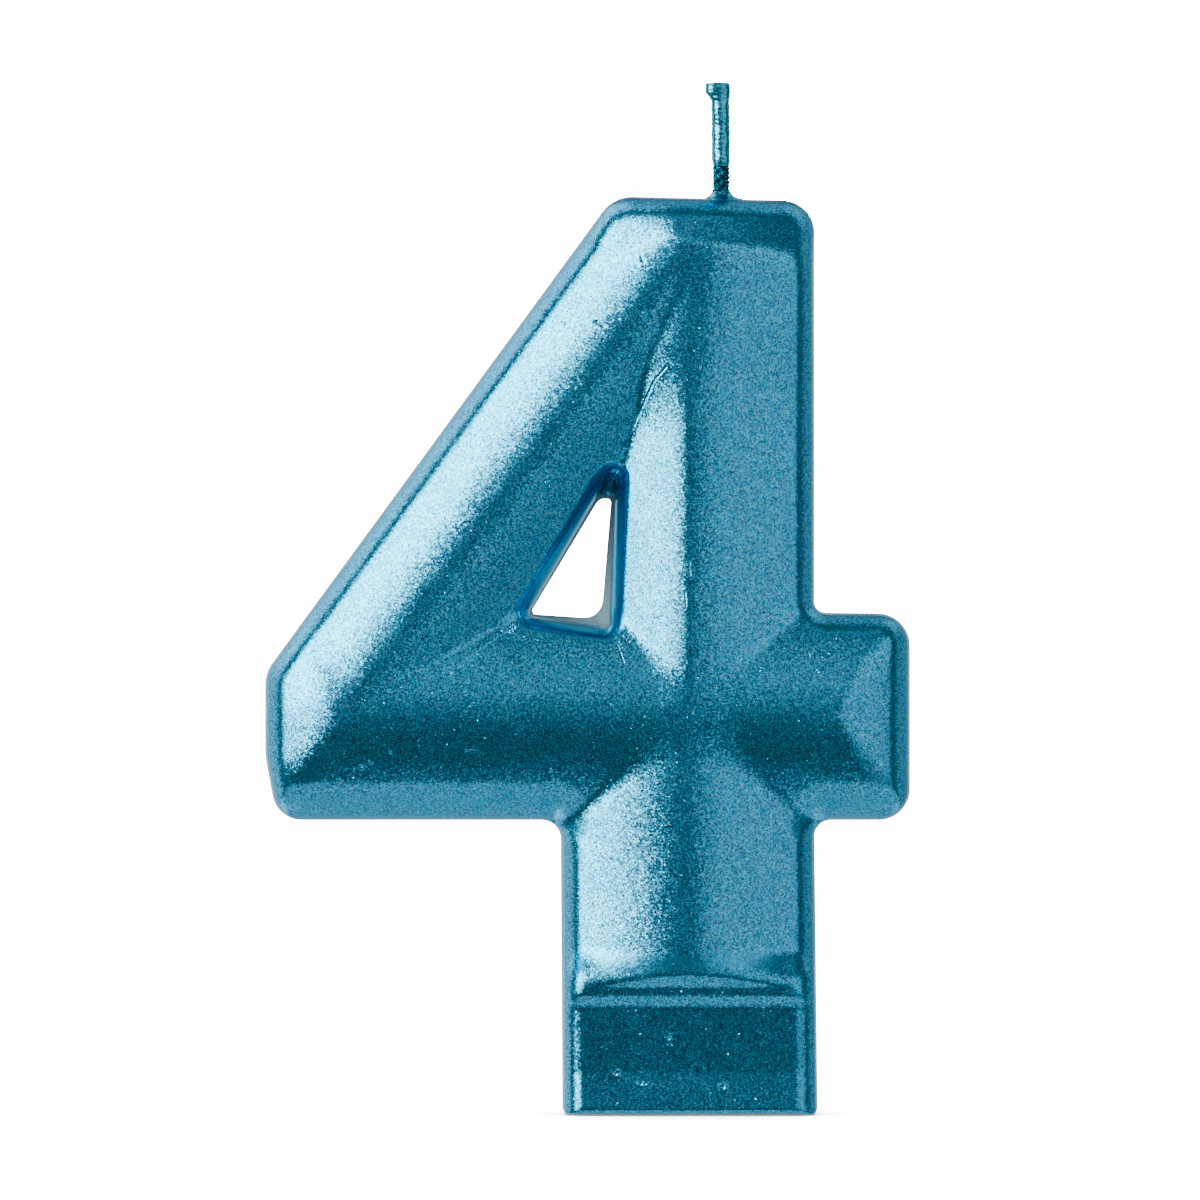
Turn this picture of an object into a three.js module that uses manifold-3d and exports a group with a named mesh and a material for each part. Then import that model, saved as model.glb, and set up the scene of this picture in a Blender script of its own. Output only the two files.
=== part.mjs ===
// A birthday candle moulded as the numeral 4: a wax core under a metallic dip coat, standing on a
// thinned foot, with a braided wick that runs from the foot's underside out of the top.
//
// Millimetres. +X is to the reader's right, -Y is the front, +Z is up. The origin is the middle of
// the foot's underside, and the plane y = 0 is the parting plane of the two alike mould halves.

import * as THREE from 'three';
import { mergeVertices } from 'three/addons/utils/BufferGeometryUtils.js';
import Module from 'manifold-3d';

const wasm = await Module();
wasm.setup();

// ---- Driving dimensions: the numeral seen from the front --------------------------------------

const BODY_HEIGHT = 73.4;
const STEM_RIGHT = 10.1;
const STEM_LEFT = -10.1;
const BAR_TOP = 40.0;
const BAR_BOTTOM = 23.6;
const BAR_RIGHT = 17.6;
const BAR_LEFT = -34.05;
const BAR_LEFT_DRAFT = 0.6;
const TOP_LEFT = -6.1;
const DIAGONAL_LEAN = THREE.MathUtils.degToRad(36.2);
const HOLE_LEFT = -12.8;
const HOLE_RIGHT = -6.6;
const HOLE_BOTTOM = 40.1;
const HOLE_APEX = 50.8;

const TOP_ROUND = 2.9;
const END_ROUND = 2.5;
const SOFT_ROUND = 3.0;
const INNER_ROUND = 1.3;
const HOLE_ROUND = 0.4;
const CORNER_STEPS = 4;
const LEAST_ROUND = 0.05;

// ---- Driving dimensions: the relief, as heights from the parting plane ------------------------

const RIDGE_HEIGHT = 6.5;
const ARCH_FALL = 3.1;
const ARCH_POWER = 1.7;
const ARCH_STEPS = 6;
const DIAGONAL_RIDGE_INSET = 7.2;
const HIP_LENGTH = 5.4;
const HIP_STEPS = 5;
// The drafted wall round every edge, as [distance in from the edge, height from the parting plane].
const WALL = [[0, 0], [0.25, 2.4], [0.6, 3.3], [1.0, 3.9], [1.4, 4.3], [4.2, 7.1]];

// ---- Driving dimensions: the foot, the skin and the wick --------------------------------------

const FOOT_PANEL_HEIGHT = 4.6;
const FOOT_PANEL_TOP = 8.8;
const LEDGE_HEIGHT = 5.5;
const LEDGE_LOW = 9.7;
const LEDGE_HIGH = 10.5;
const LIP_TOP = 12.0;

const COAT_THICKNESS = 0.4;
const CORE_GAP = 0.25;
const COAT_LIFT = 0.3;

const WICK_X = 2.45;
const WICK_RADIUS = 0.65;
const WICK_TIP_RADIUS = 0.45;
const WICK_CLEARANCE = 0.15;
const WICK_SIDES = 10;
const SLEEVE_BOTTOM = 75.8;
const SLEEVE_RADIUS = 0.7;
const SLEEVE_BORE = 0.52;
const TIP_HEIGHT = 82.5;
const TIP_WALL = 0.5;
const BEAD_RADIUS = 0.72;
const BEAD_LEAN = 0.45;
const COLLAR_FOOT_RADIUS = 1.4;
const COLLAR_TOP_RADIUS = 1.0;
const COLLAR_TOP = 74.5;

const BEYOND = 10;

// ---- Solids -----------------------------------------------------------------------------------

function toSolid(geometry) {
  geometry.deleteAttribute('normal');
  geometry.deleteAttribute('uv');
  const merged = mergeVertices(geometry, 1e-4);
  return new wasm.Manifold(new wasm.Mesh({
    numProp: 3,
    vertProperties: new Float32Array(merged.attributes.position.array),
    triVerts: new Uint32Array(merged.index.array),
  }));
}

function toMesh(solid, name, material) {
  const { vertProperties, triVerts } = solid.getMesh();
  const geometry = new THREE.BufferGeometry();
  geometry.setAttribute('position', new THREE.BufferAttribute(vertProperties, 3));
  geometry.setIndex(new THREE.BufferAttribute(triVerts, 1));
  geometry.computeVertexNormals();
  const mesh = new THREE.Mesh(geometry, material);
  mesh.name = name;
  return mesh;
}

function box(low, high) {
  const size = high.map((value, i) => value - low[i]);
  const geometry = new THREE.BoxGeometry(...size);
  geometry.translate(...high.map((value, i) => (value + low[i]) / 2));
  return toSolid(geometry);
}

// A profile of [radius, z] points turned about the wick's axis.
function turned(profile) {
  const points = profile.map(([radius, z]) => new THREE.Vector2(radius, z));
  const geometry = new THREE.LatheGeometry(points, WICK_SIDES);
  geometry.rotateX(Math.PI / 2);
  geometry.translate(WICK_X, 0, 0);
  return toSolid(geometry);
}

// ---- Rounded polygons, given anticlockwise as seen from the front -----------------------------

function outlineCorners() {
  const diagonalRun = (TOP_LEFT - BAR_LEFT) / Math.tan(DIAGONAL_LEAN);
  return [
    { x: STEM_RIGHT, z: -BEYOND, radius: LEAST_ROUND },
    { x: STEM_RIGHT, z: BAR_BOTTOM, radius: INNER_ROUND },
    { x: BAR_RIGHT, z: BAR_BOTTOM, radius: END_ROUND },
    { x: BAR_RIGHT, z: BAR_TOP, radius: END_ROUND },
    { x: STEM_RIGHT, z: BAR_TOP, radius: INNER_ROUND },
    { x: STEM_RIGHT, z: BODY_HEIGHT, radius: TOP_ROUND },
    { x: TOP_LEFT, z: BODY_HEIGHT, radius: TOP_ROUND },
    { x: BAR_LEFT, z: BODY_HEIGHT - diagonalRun, radius: SOFT_ROUND },
    { x: BAR_LEFT + BAR_LEFT_DRAFT, z: BAR_BOTTOM, radius: END_ROUND },
    { x: STEM_LEFT, z: BAR_BOTTOM, radius: INNER_ROUND },
    { x: STEM_LEFT, z: -BEYOND, radius: LEAST_ROUND },
  ];
}

function holeCorners() {
  return [
    { x: HOLE_LEFT, z: HOLE_BOTTOM, radius: HOLE_ROUND },
    { x: HOLE_RIGHT, z: HOLE_BOTTOM, radius: HOLE_ROUND },
    { x: HOLE_RIGHT, z: HOLE_APEX, radius: HOLE_ROUND },
  ];
}

// One side of a polygon, moved inwards: a point on it and its direction.
function shiftedSide(start, end, inset) {
  const along = new THREE.Vector2(end.x - start.x, end.z - start.z).normalize();
  const point = new THREE.Vector2(start.x - along.y * inset, start.z + along.x * inset);
  return { point, along };
}

function meetingPoint(first, second) {
  const gap = second.point.clone().sub(first.point);
  const distance = gap.cross(second.along) / first.along.cross(second.along);
  return first.point.clone().addScaledVector(first.along, distance);
}

// The arc that joins two sides. A convex corner tightens as it moves inwards, a hollow one opens.
function cornerArc(before, after, radius, inset) {
  const turn = Math.atan2(before.along.cross(after.along), before.along.dot(after.along));
  const swing = Math.sign(turn);
  const rounded = Math.max(radius - swing * inset, LEAST_ROUND);
  const tangent = rounded * Math.tan(Math.abs(turn) / 2);
  const start = meetingPoint(before, after).addScaledVector(before.along, -tangent);
  const inward = new THREE.Vector2(-before.along.y, before.along.x).multiplyScalar(swing);
  const centre = start.clone().addScaledVector(inward, rounded);
  const arc = [];
  for (let step = 0; step <= CORNER_STEPS; step++) {
    arc.push(start.clone().rotateAround(centre, (turn * step) / CORNER_STEPS));
  }
  return arc;
}

function roundedRing(corners, inset) {
  const sides = corners.map((corner, i) => shiftedSide(corner, corners[(i + 1) % corners.length], inset));
  return corners.flatMap((corner, i) => cornerArc(sides.at(i - 1), sides[i], corner.radius, inset));
}

// ---- The drafted body and the drafted hole ----------------------------------------------------

// Joins rings of equal length, each at its own y, into one closed solid.
function loft(rings, depths) {
  const count = rings[0].length;
  const positions = rings.flatMap((ring, k) => ring.flatMap((point) => [point.x, depths[k], point.y]));
  const triangles = [];
  for (let k = 0; k + 1 < rings.length; k++) {
    for (let i = 0; i < count; i++) {
      const here = k * count + i;
      const next = k * count + ((i + 1) % count);
      triangles.push(here, next + count, next, here, here + count, next + count);
    }
  }
  const last = (rings.length - 1) * count;
  for (const [a, b, c] of THREE.ShapeUtils.triangulateShape(rings[0], [])) {
    triangles.push(a, b, c);
  }
  for (const [a, b, c] of THREE.ShapeUtils.triangulateShape(rings.at(-1), [])) {
    triangles.push(last + a, last + c, last + b);
  }
  const geometry = new THREE.BufferGeometry();
  geometry.setAttribute('position', new THREE.Float32BufferAttribute(positions, 3));
  geometry.setIndex(triangles);
  return toSolid(geometry);
}

// Both mould halves of a polygon whose side follows WALL. `sense` is 1 where the wall leans in
// over the polygon and -1 where it leans out from it.
function drafted(corners, skin, sense) {
  const front = WALL.slice(1).reverse().map(([inset, height]) => [inset, -height]);
  const levels = [...front, ...WALL];
  const rings = levels.map(([inset]) => roundedRing(corners, sense * (inset + skin)));
  return loft(rings, levels.map(([, height]) => height));
}

// ---- The arched roof over the strokes ---------------------------------------------------------

function archHeight(share, skin) {
  return RIDGE_HEIGHT - skin - ARCH_FALL * Math.pow(Math.abs(share), ARCH_POWER);
}

// A stroke of the numeral: a lens-shaped section pushed along its ridge.
function stroke(halfWidth, length, skin) {
  const top = [];
  for (let step = -ARCH_STEPS; step <= ARCH_STEPS; step++) {
    const share = step / ARCH_STEPS;
    top.push(new THREE.Vector2(share * halfWidth, archHeight(share, skin)));
  }
  const bottom = top.map((point) => new THREE.Vector2(point.x, -point.y)).reverse();
  const section = new THREE.Shape([...top, ...bottom]);
  return new THREE.ExtrudeGeometry(section, { depth: length, bevelEnabled: false });
}

function stemStroke(skin) {
  const centre = (STEM_LEFT + STEM_RIGHT) / 2;
  const geometry = stroke((STEM_RIGHT - STEM_LEFT) / 2, BODY_HEIGHT + BEYOND, skin);
  geometry.translate(centre, 0, -BEYOND);
  return toSolid(geometry);
}

function barStroke(skin) {
  const geometry = stroke((BAR_TOP - BAR_BOTTOM) / 2, BAR_RIGHT - BAR_LEFT, skin);
  geometry.rotateY(Math.PI / 2);
  geometry.translate(BAR_LEFT, 0, (BAR_TOP + BAR_BOTTOM) / 2);
  return toSolid(geometry);
}

// The diagonal's ridge runs from the bar's ridge to the stem's ridge, along the outer edge.
function diagonalStroke(skin) {
  const outward = DIAGONAL_RIDGE_INSET / Math.cos(DIAGONAL_LEAN);
  const ridgeX = (z) => TOP_LEFT + outward - (BODY_HEIGHT - z) * Math.tan(DIAGONAL_LEAN);
  const lowZ = (BAR_TOP + BAR_BOTTOM) / 2;
  const lowX = ridgeX(lowZ);
  const length = ((STEM_LEFT + STEM_RIGHT) / 2 - lowX) / Math.sin(DIAGONAL_LEAN);
  const geometry = stroke(DIAGONAL_RIDGE_INSET, length, skin);
  geometry.rotateY(DIAGONAL_LEAN);
  geometry.translate(lowX, 0, lowZ);
  return toSolid(geometry);
}

// The falling curve of a hip, from the ridge down to an end of the numeral at `end`.
function hipCurve(end, skin) {
  const points = [];
  for (let step = 0; step <= HIP_STEPS; step++) {
    const share = step / HIP_STEPS;
    const along = end - Math.sign(end) * HIP_LENGTH * (1 - share);
    points.push(new THREE.Vector2(along, archHeight(share, skin)));
  }
  return points;
}

// The side view of the relief as [z, y]: the foot's flat panel, its ledge and lip, the level
// ridges, and the hip at the top.
function sideProfile(skin) {
  const foot = [
    [-BEYOND, FOOT_PANEL_HEIGHT],
    [FOOT_PANEL_TOP, FOOT_PANEL_HEIGHT],
    [LEDGE_LOW, LEDGE_HEIGHT],
    [LEDGE_HIGH, LEDGE_HEIGHT],
    [LIP_TOP, RIDGE_HEIGHT],
  ];
  const lower = foot.map(([z, height]) => new THREE.Vector2(z + skin, height - skin));
  return [...lower, ...hipCurve(BODY_HEIGHT, skin)];
}

// The plan view of the relief as [x, y]: the hips at the bar's two ends.
function planProfile(skin) {
  return [...hipCurve(BAR_LEFT, skin).reverse(), ...hipCurve(BAR_RIGHT, skin)];
}

// The space between a height profile and its mirror image in the parting plane, pushed along.
function between(profile, length) {
  const mirror = profile.map((point) => new THREE.Vector2(point.x, -point.y)).reverse();
  const section = new THREE.Shape([...profile, ...mirror]);
  return new THREE.ExtrudeGeometry(section, { depth: length, bevelEnabled: false });
}

function roof(skin) {
  const side = between(sideProfile(skin), BAR_RIGHT - BAR_LEFT);
  side.rotateY(-Math.PI / 2);
  side.translate(BAR_RIGHT, 0, 0);
  const plan = between(planProfile(skin), BODY_HEIGHT + BEYOND);
  plan.translate(0, 0, -BEYOND);
  const strokes = stemStroke(skin).add(barStroke(skin)).add(diagonalStroke(skin));
  return strokes.intersect(toSolid(side)).intersect(toSolid(plan));
}

// The numeral, shrunk by `skin` all over, with its foot running on down below the floor.
function numeral(skin) {
  const block = drafted(outlineCorners(), skin, 1);
  const hole = drafted(holeCorners(), skin, -1);
  return block.intersect(roof(skin)).subtract(hole);
}

// The part of a solid that is above a level.
function above(solid, level) {
  const low = [BAR_LEFT, -BEYOND, -2 * BEYOND];
  const high = [BAR_RIGHT, BEYOND, level];
  return solid.subtract(box(low, high));
}

// ---- The pieces -------------------------------------------------------------------------------

function wickChannel() {
  const radius = WICK_RADIUS + WICK_CLEARANCE;
  return turned([[0, -BEYOND], [radius, -BEYOND], [radius, BODY_HEIGHT + BEYOND], [0, BODY_HEIGHT + BEYOND]]);
}

// The cast paraffin body, with the channel that the wick fills.
function waxCore() {
  return above(numeral(COAT_THICKNESS + CORE_GAP), 0).subtract(wickChannel());
}

// The thin coloured skin, open under the foot, with the little cone it draws up the wick.
function metallicCoat() {
  const shell = above(numeral(0), COAT_LIFT).subtract(numeral(COAT_THICKNESS));
  const collar = turned([
    [0, BODY_HEIGHT - COAT_THICKNESS],
    [COLLAR_FOOT_RADIUS, BODY_HEIGHT - COAT_THICKNESS],
    [COLLAR_FOOT_RADIUS, BODY_HEIGHT],
    [COLLAR_TOP_RADIUS, COLLAR_TOP],
    [0, COLLAR_TOP],
  ]);
  return shell.add(collar).subtract(wickChannel());
}

// The braided cotton wick: full width through the body, pinched where its sleeve grips it.
function wick() {
  const top = TIP_HEIGHT - 2 * TIP_WALL;
  return turned([
    [0, 0],
    [WICK_RADIUS, 0],
    [WICK_RADIUS, SLEEVE_BOTTOM - WICK_CLEARANCE],
    [WICK_TIP_RADIUS, SLEEVE_BOTTOM],
    [WICK_TIP_RADIUS, top - WICK_CLEARANCE],
    [0, top],
  ]);
}

// The stiff dipped sleeve over the wick's upper end, with the bead that dried at its tip.
function wickSleeve() {
  const boreTop = TIP_HEIGHT - TIP_WALL;
  const sleeve = turned([
    [0, boreTop],
    [SLEEVE_BORE, boreTop - WICK_CLEARANCE],
    [SLEEVE_BORE, SLEEVE_BOTTOM],
    [SLEEVE_RADIUS, SLEEVE_BOTTOM],
    [SLEEVE_RADIUS, boreTop],
    [SLEEVE_BORE, TIP_HEIGHT],
    [0, TIP_HEIGHT],
  ]);
  const bead = new THREE.SphereGeometry(BEAD_RADIUS, WICK_SIDES, WICK_SIDES / 2);
  bead.rotateX(Math.PI / 2);
  bead.translate(WICK_X - BEAD_LEAN, 0, TIP_HEIGHT - BEAD_RADIUS);
  const bore = turned([[0, 0], [SLEEVE_BORE, 0], [SLEEVE_BORE, boreTop - WICK_CLEARANCE], [0, boreTop]]);
  return sleeve.add(toSolid(bead).subtract(bore));
}

// ---- The assembly -----------------------------------------------------------------------------

const WAX = new THREE.MeshStandardMaterial({ color: 0xf0e8d6, roughness: 0.55, metalness: 0 });
const METALLIC_BLUE = new THREE.MeshStandardMaterial({ color: 0x1f86a8, roughness: 0.4, metalness: 0.8 });
const COTTON = new THREE.MeshStandardMaterial({ color: 0x4f6f78, roughness: 0.85, metalness: 0 });
const DRIED_DIP = new THREE.MeshStandardMaterial({ color: 0x3f93ab, roughness: 0.45, metalness: 0.6 });

const candle = new THREE.Group();
candle.add(toMesh(waxCore(), 'wax_core', WAX));
candle.add(toMesh(metallicCoat(), 'metallic_coat', METALLIC_BLUE));
candle.add(toMesh(wick(), 'wick', COTTON));
candle.add(toMesh(wickSleeve(), 'wick_sleeve', DRIED_DIP));

export default candle;
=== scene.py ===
"""A number birthday candle: the numeral 4 in wax under a pearlescent blue dip coat."""

import math

import bpy
import numpy as np
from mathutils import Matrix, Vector, noise
from mathutils.geometry import delaunay_2d_cdt


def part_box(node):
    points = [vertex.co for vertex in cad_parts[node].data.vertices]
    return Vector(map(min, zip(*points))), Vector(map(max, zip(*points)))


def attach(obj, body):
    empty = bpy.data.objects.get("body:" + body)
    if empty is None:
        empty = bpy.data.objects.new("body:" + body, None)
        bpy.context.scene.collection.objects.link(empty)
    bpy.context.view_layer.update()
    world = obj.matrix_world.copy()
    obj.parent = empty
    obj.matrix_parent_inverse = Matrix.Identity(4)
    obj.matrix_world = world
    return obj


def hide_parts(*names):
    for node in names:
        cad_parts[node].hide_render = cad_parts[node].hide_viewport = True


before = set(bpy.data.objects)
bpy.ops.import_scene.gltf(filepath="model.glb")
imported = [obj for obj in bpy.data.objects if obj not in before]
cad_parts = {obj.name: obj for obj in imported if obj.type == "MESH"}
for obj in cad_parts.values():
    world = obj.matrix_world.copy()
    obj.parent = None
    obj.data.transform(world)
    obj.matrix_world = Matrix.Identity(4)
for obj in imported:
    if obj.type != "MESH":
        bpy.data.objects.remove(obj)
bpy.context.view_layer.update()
MM = 0.001


def cad_box_mm(node):
    """A CAD node's lowest and highest corners, in millimetres."""
    low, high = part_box(node)
    return Vector(low) / MM, Vector(high) / MM


COAT_LOW, COAT_HIGH = cad_box_mm("metallic_coat")
_, CORE_HIGH = cad_box_mm("wax_core")
WICK_LOW, WICK_HIGH = cad_box_mm("wick")
TIP_LOW, TIP_HIGH = cad_box_mm("wick_sleeve")

# ---- The numeral seen from the front, in millimetres ----

# The coat's thickness with its clearance, and how high its rim and the bare wax end above the floor.
SKIN = 0.65
BASE = 0.08
BARE_FACE = 0.02

LEFT = COAT_LOW.x
RIGHT = COAT_HIGH.x
TOP = CORE_HIGH.z + SKIN
RIDGE = COAT_HIGH.y

STEM_LEFT = -10.36
STEM_RIGHT = 9.95
FOOT_LEFT = -10.22
FOOT_RIGHT = 10.22
BAR_BOTTOM = 23.5
BAR_TOP = 40.1
BAR_TOP_FALL = 0.1
TOP_LEFT = -6.1
TOP_SLOPE = 0.4
# The left end: where its upright side begins, how far it draws in at the bottom, and how far the
# diagonal leans.
LEFT_KNEE = 28.6
LEFT_DRAFT = 0.95
LEAN = math.radians(36.2)
FOOT_ROUND = 0.5
# Below the foot the outline runs on, so that the foot's bottom edge isn't taken for a side.
FOOT_REACH = 10.0
RUN_ON_ROUND = 0.05

# The hole: where its walls meet the flash, and the edge of the flash that narrows it.
HOLE_WALLS = [
    (-12.95, 39.9, 0.3), (-6.55, 38.95, 0.3), (-6.0, 50.2, 0.3), (-6.02, 51.1, 0.1), (-6.85, 50.3, 0.3)
]
HOLE_FLASH = [(-12.8, 39.98, 0.3), (-7.1, 39.6, 1.5), (-6.3, 49.2, 0.3), (-7.25, 49.2, 0.8)]

# ---- The relief ----

ARCH_FALL = 3.1
BAR_FALL = 2.7
ARCH_POWER = 1.7
STEM_RIDGE_X = -0.16
# Towards the top the ridge drifts to the right: by how much, and between which heights.
RIDGE_DRIFT = 1.1
RIDGE_DRIFT_SPAN = (56.0, 66.0)
STEM_REACH = 10.0
# Beside the hole, the stem's left flank is narrow and steep.
FLANK_FALL = 3.0
FLANK_REACH = 6.4
FLANK_POWER = 1.35
FLANK_SPAN = (31.0, 37.0, 54.0, 61.0)
BAR_RIDGE_Z = 32.0
BAR_REACH = 8.2
# The bar's left end is a cone above the ridge and nearly a plain hip below it.
BAR_CONE_BLEND = 2.0
BAR_HIP_BLEND = 4.0
DIAGONAL_RIDGE_INSET = 7.2
SIDE_HIP = 6.3
SIDE_HIP_BLEND = 3.5
# The top hip starts along an arc: its highest point, how fast it drops to the right and to the left,
# and where it fades out on the left. Then its slope, how the slope grows, and the run after which it
# levels out.
TOP_HIP_X = -1.0
TOP_HIP_Z = 69.6
TOP_HIP_BOW = 0.052
TOP_HIP_LEFT_DROP = 0.6
TOP_HIP_FADE = (-11.0, -5.0)
TOP_HIP_SLOPE = 0.44
TOP_HIP_GROWTH = 0.05
TOP_HIP_RUN = 7.0
# How crisply it meets the strokes on the left and on the right, and where that changes.
TOP_HIP_BLEND = (3.0, 7.0)
TOP_HIP_TURN = (-3.0, 4.0)
# The creases between strokes are sharp near the edges and melt away at the crossing.
CREASE_WIDTH = 0.22
CROSSING_WIDTH = 0.6
CROSSING_RADIUS = 7.0
# How steep the rounded edge is, as (distance in from the edge, degrees from flat).
EDGE_TILT = [
    (0, 80), (0.25, 76), (0.5, 67), (0.8, 58),
    (1.1, 50), (1.4, 42), (1.65, 33), (1.85, 28)
]
# The same under the bar, and the spans of x where the bar is clear of the stem.
UNDERSIDE_TILT = [
    (0, 80), (0.25, 75), (0.6, 63), (1, 53),
    (1.5, 44), (2.1, 38), (2.9, 32), (3.05, 22)
]
UNDERSIDE_SPANS = [(LEFT + 1.5, STEM_LEFT - 0.6), (STEM_RIGHT + 0.8, RIGHT - 1.2)]
# Round the hole the dip has filled the edge, which is narrower.
HOLE_TILT = [(0, 80), (0.4, 70), (0.8, 58), (1.1, 46), (1.25, 28)]
# The last stretch of every edge turns down to the parting plane.
EDGE_DROP = 0.25
EDGE_DROP_POWER = 0.35
# The coat's bottom edge: its tilts, the (distance, height) that it passes, and its sharp foot.
BASE_TILT = [(0, 89.6), (0.03, 88), (0.1, 70), (0.4, 45), (0.8, 20), (2, 20)]
BASE_SHOULDER = (0.8, 4.6)
BASE_SHARPNESS = 0.05
BASE_CREASE = 0.1
# The foot's profile, as (height up the stem, half thickness): panel, ledge and lip.
FOOT_PROFILE = [
    (0, 4.3), (3.4, 4.3), (8.6, 4.9), (8.8, 4.98), (9.75, 5.58), (10.2, 5.6), (11, 6.15), (12.1, 7.6)
]
FOOT_CREASE = 0.15
FOOT_FLATTENING = 0.62
FOOT_TURN = (10.6, 13.6)
FLASH_THICKNESS = 0.07
# The face waves a little, in full where it stands at least this high, and differently on each side.
WAVINESS = 0.035
WAVE_LENGTH = 7.0
WAVE_FULL_HEIGHT = 4.0
FRONT_WAVE = 1.7
BACK_WAVE = 8.3

# ---- Where the dip lies in pools, darker there as painted shade, and where it hasn't taken ----

# In these places the dip's flakes are calmed, and its colour is darkened as painted shade.
HOLE_POOL_SHADE = (0.7, 1.6)
EDGE_POOL_SHADE = 0.4
EDGE_POOL_SHADE_AT = 1.5
EDGE_POOL_SHADE_WIDTH = 0.45
LIP_POOL_SHADE = 0.6
LIP_POOL_SHADE_Z = 12.3
LIP_POOL_SHADE_WIDTH = 0.8
LIP_POOL_SHADE_ENDS = (1.6, 3.0)
# One patch near the left end's lower corner, as (x, z) and its size.
PATCH_AT = (-30.1, 27.1)
PATCH_SIZE = (1.0, 0.5)
# The flash is bare wax, but for its top corner.
BARE_REACH = 0.04
BARE_TOP = 49.6

# ---- Mesh density ----

RING_INSETS = [0, 0.03, 0.08, 0.16, 0.28, 0.42, 0.58, 0.76, 0.95, 1.13, 1.27, 1.4, 1.55, 1.75, 2.0, 2.3]
RING_SPACING = 0.33
RING_STRETCH = 1.1
HOLE_SPACING = 0.2
HOLE_MEASURE_SPACING = 0.15
FLASH_SPACING = 0.18
GRID_SPACING = 0.30
# How far the grid stays from the outline and from the hole's walls.
GRID_MARGINS = (2.42, 2.42)
# Marks keep this far from an edge, and push the grid back by this share of its spacing.
MARK_MARGIN = 0.2
MARK_ROOM = 0.5
CORE_INSETS = [SKIN + more for more in (0, 0.1, 0.3, 0.6, 1.0, 1.5)]
CORE_SPACING = 0.9
CORE_MARGINS = (2.55, 1.9)
# The skin is thicker straight back than across it, as on a face that slopes this much.
CORE_SLOPE = math.radians(30)
COAT_RIM = 0.03
CORE_RIM = 0.05
# An arc's points stand closer than a side's, and it never shrinks to less than the smallest radius.
ARC_DENSITY = 1.5
ARC_SIZE = 0.4
SMALLEST_RADIUS = 0.02
# Distances are measured for this many points at a time.
BATCH = 2000


# ==== Rounded outlines ====


def outline_corners(reach=0.0):
    """The numeral's corners, anticlockwise, as (x, z, radius). The foot runs on below by reach."""
    run = (TOP_LEFT - LEFT) / math.tan(LEAN)
    foot_radius = FOOT_ROUND if reach == 0 else RUN_ON_ROUND
    further = reach / (BAR_BOTTOM - BASE)
    return [
        (FOOT_RIGHT + (FOOT_RIGHT - STEM_RIGHT) * further, BASE - reach, foot_radius),
        (STEM_RIGHT, BAR_BOTTOM, 1.3),
        (RIGHT, BAR_BOTTOM, 2.5),
        (RIGHT, BAR_TOP - BAR_TOP_FALL, 2.6),
        (STEM_RIGHT, BAR_TOP, 0.9),
        (STEM_RIGHT, TOP - TOP_SLOPE, 2.6),
        (TOP_LEFT, TOP, 3.0),
        (LEFT, TOP - run, 3.0),
        (LEFT, LEFT_KNEE, 9.0),
        (LEFT + LEFT_DRAFT, BAR_BOTTOM, 2.4),
        (STEM_LEFT, BAR_BOTTOM, 1.5),
        (FOOT_LEFT + (FOOT_LEFT - STEM_LEFT) * further, BASE - reach, foot_radius),
    ]


def sides_of(corners, inset):
    """Each side as a point and a direction, moved inwards by inset."""
    sides = []
    for (x0, z0, _), (x1, z1, _) in zip(corners, corners[1:] + corners[:1]):
        along = np.array([x1 - x0, z1 - z0])
        along /= np.linalg.norm(along)
        sides.append((np.array([x0, z0]) + inset * np.array([-along[1], along[0]]), along))
    return sides


def corner_arc(before, after, radius, inset, spacing):
    """The points of the arc that joins two sides."""
    (point, along), (point_after, along_after) = before, after
    cross = along[0] * along_after[1] - along[1] * along_after[0]
    turn = math.atan2(cross, float(along @ along_after))
    swing = math.copysign(1.0, turn)
    rounded = max(radius - swing * inset, SMALLEST_RADIUS)
    steps = max(2, round(max(radius, ARC_SIZE) * abs(turn) / spacing * ARC_DENSITY))
    gap = point_after - point
    meet = point + along * (gap[0] * along_after[1] - gap[1] * along_after[0]) / cross
    start = meet - along * rounded * math.tan(abs(turn) / 2)
    centre = start + swing * rounded * np.array([-along[1], along[0]])
    arm = start - centre
    arc = []
    for step in range(steps + 1):
        angle = turn * step / steps
        cos, sin = math.cos(angle), math.sin(angle)
        arc.append(centre + np.array([arm[0] * cos - arm[1] * sin, arm[0] * sin + arm[1] * cos]))
    return arc


def corner_arcs(corners, inset, spacing):
    """Every corner's arc, moved inwards by inset."""
    sides = sides_of(corners, inset)
    return [
        corner_arc(sides[i - 1], sides[i], corners[i][2], inset, spacing) for i in range(len(corners))
    ]


def ring(corners, inset, spacing=RING_SPACING):
    """A closed outline moved inwards by inset; its points face those of every other inset."""
    arcs = corner_arcs(corners, inset, spacing)
    plain = corner_arcs(corners, 0, spacing)
    points = []
    for i in range(len(corners)):
        arc, following = arcs[i - 1], arcs[i]
        points.extend(arc)
        gap = following[0] - arc[-1]
        steps = max(1, round(float(np.linalg.norm(plain[i][0] - plain[i - 1][-1])) / spacing))
        points.extend(arc[-1] + gap * step / steps for step in range(1, steps))
    return np.array(points)


def distance_to(points, line):
    """Each point's distance to a closed line of points."""
    starts, ends = line, np.roll(line, -1, axis=0)
    along = ends - starts
    length2 = (along**2).sum(axis=1)
    nearest = np.empty(len(points))
    for low in range(0, len(points), BATCH):
        block = points[low : low + BATCH, None, :] - starts[None, :, :]
        share = np.clip((block * along).sum(axis=2) / length2, 0, 1)
        gap = block - share[..., None] * along
        nearest[low : low + BATCH] = np.sqrt((gap**2).sum(axis=2).min(axis=1))
    return nearest


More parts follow.
